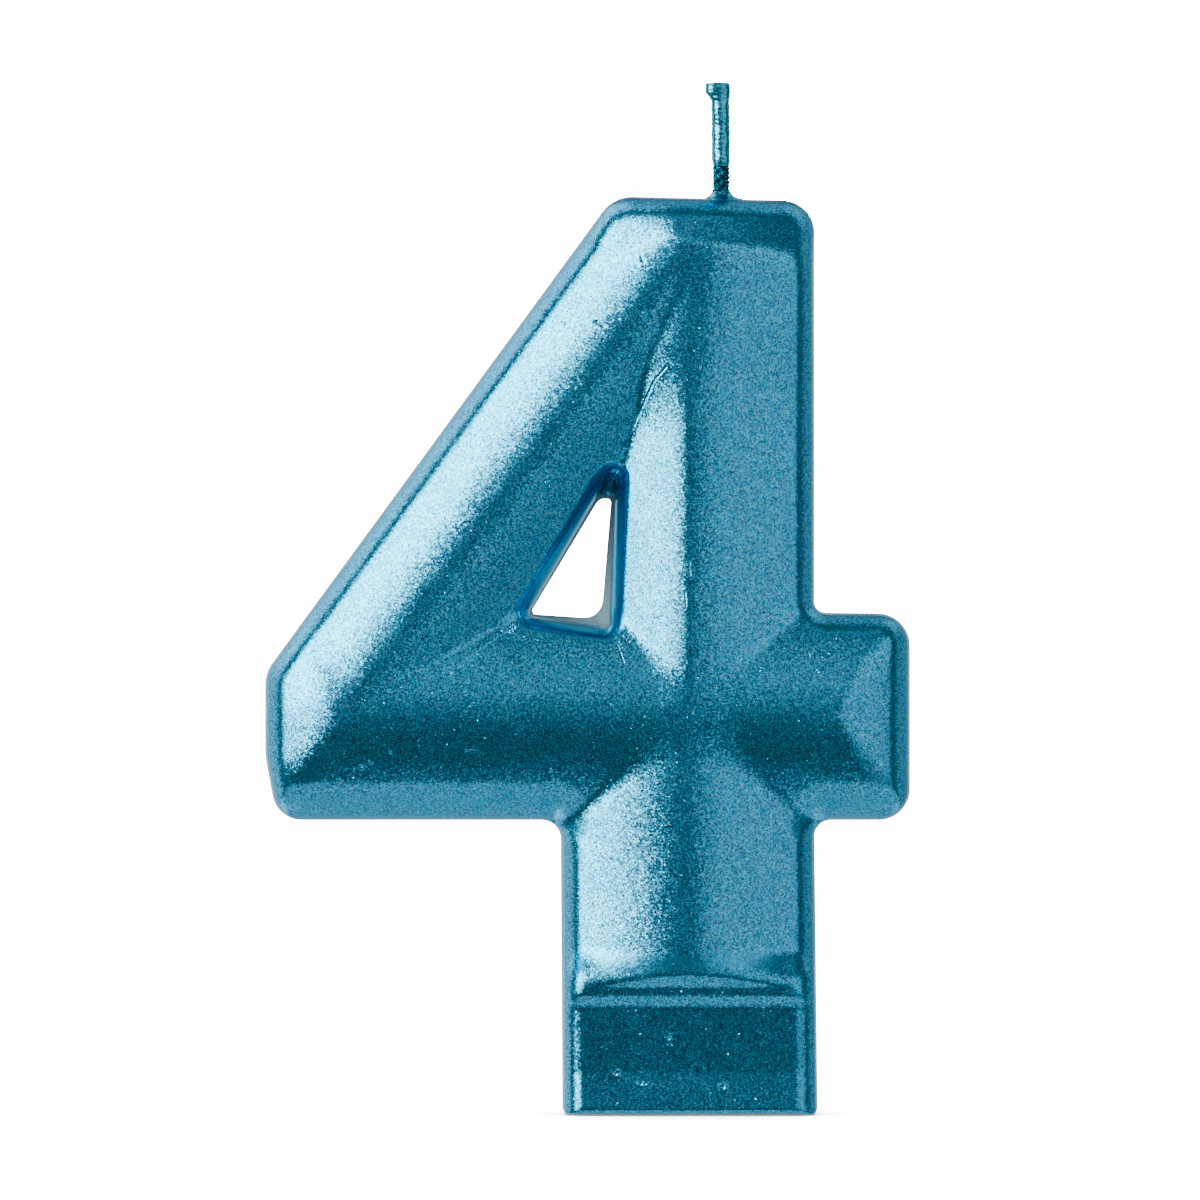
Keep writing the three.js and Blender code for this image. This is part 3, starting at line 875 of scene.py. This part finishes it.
class Nodes:
    """Adds nodes to a tree. Most methods give back an output socket."""

    def __init__(self, tree):
        self.tree = tree

    def add(self, kind, **settings):
        """A new node with its settings. This one gives back the node itself."""
        node = self.tree.nodes.new(kind)
        for name, value in settings.items():
            setattr(node, name, value)
        return node

    def join(self, source, socket):
        """Links a socket, or sets a constant."""
        if isinstance(source, bpy.types.NodeSocket):
            self.tree.links.new(source, socket)
        else:
            socket.default_value = source

    def feed(self, node, **values):
        """Joins values to a node's inputs. A space in an input's name is written as _ here."""
        for name, value in values.items():
            self.join(value, node.inputs[name.replace("_", " ")])

    def math(self, operation, *values):
        node = self.add("ShaderNodeMath", operation=operation)
        for value, socket in zip(values, node.inputs):
            self.join(value, socket)
        return node.outputs[0]

    def times(self, first, second):
        return self.math("MULTIPLY", first, second)

    def vector(self, operation, *values):
        node = self.add("ShaderNodeVectorMath", operation=operation)
        for value, socket in zip(values, node.inputs):
            self.join(value, socket)
        return node.outputs[0]

    def scale(self, vector, factor):
        node = self.add("ShaderNodeVectorMath", operation="SCALE")
        self.join(vector, node.inputs[0])
        self.join(factor, node.inputs["Scale"])
        return node.outputs[0]

    def ramp(self, value, low, high, start=0.0, end=1.0):
        """A smooth step from start to end as value goes from low to high."""
        node = self.add("ShaderNodeMapRange", interpolation_type="SMOOTHSTEP")
        for source, socket in zip((value, low, high, start, end), node.inputs):
            self.join(source, socket)
        return node.outputs[0]

    def noise(self, where, size, detail=2.0):
        """Noise whose features are about size millimetres wide."""
        node = self.add("ShaderNodeTexNoise")
        self.feed(node, Vector=where, Scale=1 / (size * MM), Detail=detail)
        return node.outputs["Fac"]

    def cells(self, where, size):
        """Random colours in cells about size millimetres wide."""
        node = self.add("ShaderNodeTexVoronoi", feature="F1", voronoi_dimensions="3D")
        self.feed(node, Vector=where, Scale=1 / (size * MM))
        return node.outputs["Color"]

    def mix(self, share, first, second):
        node = self.add("ShaderNodeMix", data_type="RGBA")
        colours = [socket for socket in node.inputs if socket.type == "RGBA"]
        self.join(share, node.inputs["Factor"])
        self.join(first, colours[0])
        self.join(second, colours[1])
        return next(socket for socket in node.outputs if socket.type == "RGBA")

    def parts(self, vector):
        """The three parts of a vector or colour."""
        node = self.add("ShaderNodeSeparateXYZ")
        self.join(vector, node.inputs[0])
        return node.outputs

    def mask(self, name):
        """A number stored on the mesh's vertices."""
        return self.add("ShaderNodeAttribute", attribute_name=name).outputs["Fac"]

    def bump(self, height, distance):
        """A normal tilted by a height whose full range stands for distance millimetres."""
        node = self.add("ShaderNodeBump")
        self.feed(node, Strength=1.0, Distance=distance * MM, Height=height)
        return node.outputs[0]


def new_material(name):
    """A new material, its nodes, its shader and the object's coordinates."""
    material = bpy.data.materials.new(name)
    material.use_nodes = True
    nodes = Nodes(material.node_tree)
    where = nodes.add("ShaderNodeTexCoord").outputs["Object"]
    return material, nodes, material.node_tree.nodes["Principled BSDF"], where


# ==== Materials ====

DIP_BLUE = (0.145, 0.57, 0.93)
THIN_DIP_BLUE = (0.16, 0.60, 0.86)
DIP_METALLIC = 0.94
DIP_ROUGHNESS = (0.18, 0.24)
DIP_SPECULAR_TINT = (0.45, 0.80, 1.0, 1)
LACQUER = 0.4
LACQUER_ROUGHNESS = 0.16
# The flakes: how far they lean, and which of them lean far and sparkle.
FLAKE_SIZE = 0.11
FLAKE_TILT = 0.2
SPARKLE_TILT = 0.7
SPARKLE_PICK = (0.985, 0.992)
# How much their brightness varies, and which of them are dark.
FLAKE_CONTRAST = 0.95
DARK_FLAKE = 0.6
DARK_PICK = (0.10, 0.25)
# Their colours: a flake is bluer or greener, and soft clouds turn greener as a whole.
BLUE_FLAKE = (0.3, 1.0, 1.0)
GREEN_FLAKE = (1.7, 1.0, 1.0)
CLOUD = (0.95, 1.03, 0.93)
CLOUD_SHARE = 0.5
# The flakes stand out less on the wick. In the dip's pools they are calmer, and painted shade makes them
# darker and bluer.
THIN_DIP_GRAIN = 0.7
POOL_CALM = 0.85
POOL_SHADE_DEPTH = 0.75
POOL_SHADE_TINT = (0.6, 0.92, 0.8)
BARE_WAX = (0.60, 0.72, 0.78, 1)
BARE_MATT = 0.9


def tinted(colour, tint):
    return tuple(value * factor for value, factor in zip(colour, tint)) + (1,)


def flake_normal(nodes, where, grain):
    """Flakes that each lean their own way, on a face that is faintly dimpled and streaked."""
    lean = nodes.vector("SUBTRACT", nodes.cells(where, FLAKE_SIZE), (0.5, 0.5, 0.5))
    pick = nodes.parts(nodes.cells(where, FLAKE_SIZE * 1.1))
    sparkle = nodes.ramp(pick[0], *SPARKLE_PICK, 0.0, SPARKLE_TILT)
    tilt = nodes.times(nodes.math("ADD", sparkle, FLAKE_TILT), grain)
    streak = nodes.noise(nodes.vector("MULTIPLY", where, (1.0, 1.0, 6.0)), 1.6, 3.0)
    dimple = nodes.noise(where, 0.9)
    swell = nodes.math("ADD", nodes.times(dimple, 0.7), nodes.times(streak, 0.3))
    relief = nodes.bump(swell, 0.02)
    return nodes.vector("NORMALIZE", nodes.vector("ADD", relief, nodes.scale(lean, tilt)))


def flake_level(nodes, shine, grain):
    """How bright each flake is, about 1. A few are dark."""
    bright = nodes.math("MULTIPLY_ADD", nodes.math("SUBTRACT", shine[1], 0.5), FLAKE_CONTRAST, 1.0)
    level = nodes.times(bright, nodes.ramp(shine[2], *DARK_PICK, DARK_FLAKE, 1.0))
    swing = nodes.times(nodes.math("SUBTRACT", level, 1.0), grain)
    return nodes.math("ADD", swing, 1.0)


def flake_hue(nodes, where, shine, base):
    """Each flake's own colour, and the clouds."""
    cloud = nodes.ramp(nodes.noise(where, 6.0, 3.0), 0.35, 0.7)
    own = nodes.mix(shine[0], tinted(base, BLUE_FLAKE), tinted(base, GREEN_FLAKE))
    return nodes.mix(nodes.times(cloud, CLOUD_SHARE), own, tinted(base, CLOUD))


def finish_dip(nodes, shader, where):
    """The gloss that both kinds of dip share."""
    rough = nodes.ramp(nodes.noise(where, 2.5, 3.0), 0.3, 0.7, *DIP_ROUGHNESS)
    nodes.feed(shader, Roughness=rough, Specular_Tint=DIP_SPECULAR_TINT)
    nodes.feed(shader, Coat_Weight=LACQUER, Coat_Roughness=LACQUER_ROUGHNESS)


def metallic_dip():
    """Pearlescent paint with smooth pools, darkened there by painted shade, which leaves bare wax on the
    flash in the hole.
    """
    material, nodes, shader, where = new_material("metallic_dip")
    pool_and_shade = nodes.mask("pool_and_shade")
    bare = nodes.mask("bare")
    grain = nodes.math("SUBTRACT", 1.0, nodes.times(pool_and_shade, POOL_CALM))
    shine = nodes.parts(nodes.cells(where, FLAKE_SIZE * 0.9))
    hue = flake_hue(nodes, where, shine, DIP_BLUE)
    # Painted shade: the pools are mixed towards a darker, bluer colour.
    shaded = nodes.mix(nodes.times(pool_and_shade, POOL_SHADE_DEPTH), hue, tinted(DIP_BLUE, POOL_SHADE_TINT))
    painted = nodes.scale(shaded, flake_level(nodes, shine, grain))
    metallic = nodes.math("SUBTRACT", DIP_METALLIC, nodes.times(bare, BARE_MATT))
    nodes.feed(shader, Base_Color=nodes.mix(bare, painted, BARE_WAX), Metallic=metallic)
    nodes.feed(shader, Normal=flake_normal(nodes, where, grain))
    finish_dip(nodes, shader, where)
    return material


def dip_on_wick():
    """The same dip, thinner, on the wick and its collar."""
    material, nodes, shader, where = new_material("dip_on_wick")
    shine = nodes.parts(nodes.cells(where, FLAKE_SIZE * 0.9))
    hue = flake_hue(nodes, where, shine, THIN_DIP_BLUE)
    painted = nodes.scale(hue, flake_level(nodes, shine, THIN_DIP_GRAIN))
    nodes.feed(shader, Base_Color=painted, Metallic=DIP_METALLIC)
    nodes.feed(shader, Normal=flake_normal(nodes, where, THIN_DIP_GRAIN))
    finish_dip(nodes, shader, where)
    return material


def moulded_wax():
    """Pale paraffin with a faint blue cast from the dip, and a scraped matt face."""
    material, nodes, shader, where = new_material("moulded_wax")
    colour = nodes.mix(nodes.noise(where, 3.0, 3.0), (0.72, 0.80, 0.80, 1), (0.86, 0.88, 0.84, 1))
    rough = nodes.ramp(nodes.noise(where, 0.8), 0.3, 0.7, 0.42, 0.6)
    scraped = nodes.noise(nodes.vector("MULTIPLY", where, (1.0, 6.0, 1.0)), 0.7, 3.0)
    nodes.feed(shader, Base_Color=colour, Roughness=rough, Normal=nodes.bump(scraped, 0.05))
    nodes.feed(shader, Subsurface_Weight=0.35, Subsurface_Radius=(0.9, 0.8, 0.7), Subsurface_Scale=MM)
    return material


def dipped_cotton():
    """Cotton yarn soaked in the dip: dark teal with bright flecks."""
    material, nodes, shader, where = new_material("dipped_cotton")
    fleck = nodes.parts(nodes.cells(where, 0.13))
    share = nodes.ramp(fleck[0], 0.55, 0.95)
    colour = nodes.mix(share, (0.012, 0.16, 0.24, 1), (0.12, 0.62, 0.78, 1))
    rough = nodes.ramp(fleck[1], 0.2, 0.8, 0.25, 0.5)
    twist = nodes.noise(nodes.vector("MULTIPLY", where, (3.0, 3.0, 1.0)), 0.2)
    nodes.feed(shader, Base_Color=colour, Roughness=rough, Normal=nodes.bump(twist, 0.05), Metallic=0.75)
    return material


# ==== Assembly ====


def place(piece, node, material):
    """Rides a piece on the candle in place of its CAD node."""
    piece.data.materials.append(material)
    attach(piece, "root")
    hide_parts(node)
    return piece


def build_candle():
    dip = metallic_dip()
    thin_dip = dip_on_wick()
    cotton = dipped_cotton()
    place(build_dip_coat(), "metallic_coat", dip)
    place(build_collar(), "metallic_coat", thin_dip)
    place(build_wax_core(), "wax_core", moulded_wax())
    place(build_wick(), "wick", cotton)
    place(build_loose_threads(), "wick", cotton)
    place(build_sleeve(), "wick_sleeve", thin_dip)


# ==== Studio ====

FRAME_WIDTH = 96 * MM
SENSOR_WIDTH = 36
AIM = Vector((-7.2, 0, 41.1)) * MM
CAMERA_DISTANCE = 0.9
FLOOR_SIZE = 3000.0
SHADE_REACH = 14 * MM
SHADE_POWER = 2.2
BACKDROP_WHITE = 7.0
# The surroundings by direction, in degrees. Azimuth 0 is in front, and elevation 0 is level.
# A box is (azimuths, elevations, strength, softness of its sides, softness of its lower and upper edge).
SOFT_BOXES = [
    ((-40, 12), (-8, 14), 0.08, (8, 8), (8, 8)),
    ((-32, 6), (17, 46), 0.16, (12, 12), (6, 3)),
    ((-70, 70), (17, 46), 0.12, (12, 12), (6, 3)),
    ((-70, 70), (54, 78), 0.17, (12, 12), (3, 6)),
    ((13, 74), (-17, 30), 0.37, (3, 6), (9, 9)),
    ((22, 84), (-50, -24), 0.18, (8, 8), (8, 8)),
]
FILL = 0.135
# The key light is a box with a brighter middle, at this place and this wide.
KEY_BOX = ((-73, -32), (-9, 52), 2.7, (14, 13), (8, 8))
KEY_MIDDLE = (-46.0, 28.0)
KEY_MIDDLE_WIDTH = 15.0
KEY_MIDDLE_GAIN = 0.7
KEY_COLOUR = (0.86, 1.0, 0.88, 1)
# It shines through an egg-crate grid: the grid's pitch, and how dark its bars are.
GRID_PITCH = 9.0
GRID_DEPTH = 0.9
# A card below, whose edge lies lower in front than behind.
LOW_CARD = 0.33
LOW_CARD_SLANT = 0.272
LOW_CARD_EDGE = (-0.565, -0.595)
# Cards behind: high up, on the left, on the right, high on the left, and straight behind.
HIGH_CARD = 0.22
LEFT_CARD = 0.48
RIGHT_CARD = 0.20
HIGH_LEFT_CARD = 0.30
BACK_CARD = 0.7


def build_camera():
    """A long lens level with the middle of the candle, straight in front of it."""
    data = bpy.data.cameras.new("camera")
    data.sensor_width = SENSOR_WIDTH
    data.lens = SENSOR_WIDTH * CAMERA_DISTANCE / FRAME_WIDTH
    data.clip_start = 0.01
    camera = bpy.data.objects.new("camera", data)
    camera.location = AIM + Vector((0, -CAMERA_DISTANCE, 0))
    camera.rotation_euler = (math.pi / 2, 0, 0)
    bpy.context.scene.collection.objects.link(camera)
    bpy.context.scene.camera = camera


def build_floor():
    """A plain white sheet under the candle, darker only where the foot shades it."""
    half = FLOOR_SIZE / 2
    corners = [(-half, -half, 0), (half, -half, 0), (half, half, 0), (-half, half, 0)]
    floor = link_mesh("floor", corners, [(0, 1, 2, 3)], smooth=False)
    material, nodes, shader, _ = new_material("floor_white")
    shade = nodes.add("ShaderNodeAmbientOcclusion", samples=8)
    nodes.feed(shade, Distance=SHADE_REACH)
    lit = nodes.math("POWER", shade.outputs["AO"], SHADE_POWER)
    nodes.feed(shader, Base_Color=(0.8, 0.8, 0.8, 1), Roughness=0.9, Emission_Color=(1, 1, 1, 1))
    nodes.feed(shader, Emission_Strength=nodes.times(lit, BACKDROP_WHITE))
    floor.data.materials.append(material)
    floor.visible_glossy = False
    floor.visible_diffuse = False
    floor.visible_transmission = False


class Surroundings(Nodes):
    """Brightness by direction."""

    def __init__(self, tree):
        super().__init__(tree)
        self.x, self.y, self.z = self.parts(self.add("ShaderNodeTexCoord").outputs["Generated"])
        forwards = self.times(self.y, -1.0)
        self.azimuth = self.math("DEGREES", self.math("ARCTAN2", self.x, forwards))
        self.elevation = self.math("DEGREES", self.math("ARCSINE", self.z))

    def window(self, value, low, high, soft):
        """1 between low and high, with soft ends."""
        rise = self.ramp(value, low - soft[0], low + soft[0])
        fall = self.ramp(value, high - soft[1], high + soft[1], 1.0, 0.0)
        return self.times(rise, fall)

    def box(self, azimuths, elevations, strength, soft_sides, soft_edges):
        """A soft box."""
        across = self.window(self.azimuth, *azimuths, soft_sides)
        up = self.window(self.elevation, *elevations, soft_edges)
        return self.times(self.times(across, up), strength)

    def card_behind(self, side, strength):
        """A card behind the candle and to one side."""
        area = self.times(self.ramp(self.y, 0.12, 0.35), self.ramp(side, 0.1, 0.35))
        return self.times(area, strength)

    def key_middle(self):
        """The brighter middle of the key light."""
        offsets = []
        for angle, middle in zip((self.azimuth, self.elevation), KEY_MIDDLE):
            offsets.append(self.math("DIVIDE", self.math("SUBTRACT", angle, middle), KEY_MIDDLE_WIDTH))
        squares = [self.times(offset, offset) for offset in offsets]
        distance = self.math("SQRT", self.math("ADD", *squares))
        return self.ramp(distance, 0.1, 1.9, KEY_MIDDLE_GAIN, 0.0)

    def egg_crate(self):
        """The grid in front of the key light, about 1."""
        waves = []
        for angle in (self.azimuth, self.elevation):
            waves.append(self.math("SINE", self.times(angle, 2 * math.pi / GRID_PITCH)))
        return self.math("MULTIPLY_ADD", self.times(*waves), GRID_DEPTH, 1.0)

    def key(self):
        bright = self.math("ADD", self.box(*KEY_BOX), self.key_middle())
        return self.times(bright, self.egg_crate())

    def low_card(self):
        slant = self.math("SUBTRACT", self.z, self.times(self.y, LOW_CARD_SLANT))
        return self.ramp(slant, *LOW_CARD_EDGE, 0.0, LOW_CARD)

    def cards_behind(self):
        left = self.times(self.x, -1.0)
        high = self.ramp(self.z, 0.3, 0.6, 0.0, HIGH_CARD)
        return [
            self.times(self.ramp(self.y, 0.2, 0.5), high),
            self.card_behind(left, LEFT_CARD),
            self.card_behind(self.x, RIGHT_CARD),
            self.times(self.card_behind(left, HIGH_LEFT_CARD), self.ramp(self.z, 0.1, 0.5)),
            self.ramp(self.y, 0.94, 1.0, 0.0, BACK_CARD),
        ]

    def brightness(self):
        """Everything together."""
        boxes = [self.box(*box) for box in SOFT_BOXES]
        total = FILL
        for light in boxes + [self.key(), self.low_card()] + self.cards_behind():
            total = self.math("ADD", light, total)
        return total


def build_surroundings():
    """Soft boxes and cards by direction, and plain white behind for the camera."""
    world = bpy.data.worlds.new("studio")
    bpy.context.scene.world = world
    world.use_nodes = True
    nodes = Surroundings(world.node_tree)
    background = world.node_tree.nodes["Background"]
    camera_ray = nodes.add("ShaderNodeLightPath").outputs["Is Camera Ray"]
    white = nodes.times(camera_ray, BACKDROP_WHITE)
    azimuths, elevations, _, soft_sides, soft_edges = KEY_BOX
    in_key = nodes.box(azimuths, elevations, 1.0, soft_sides, soft_edges)
    nodes.feed(background, Color=nodes.mix(in_key, (1, 1, 1, 1), KEY_COLOUR))
    nodes.feed(background, Strength=nodes.math("ADD", nodes.brightness(), white))
    view = bpy.context.scene.view_settings
    view.view_transform = "AgX"
    view.look = "AgX - High Contrast"


build_camera()
build_candle()
build_floor()
build_surroundings()
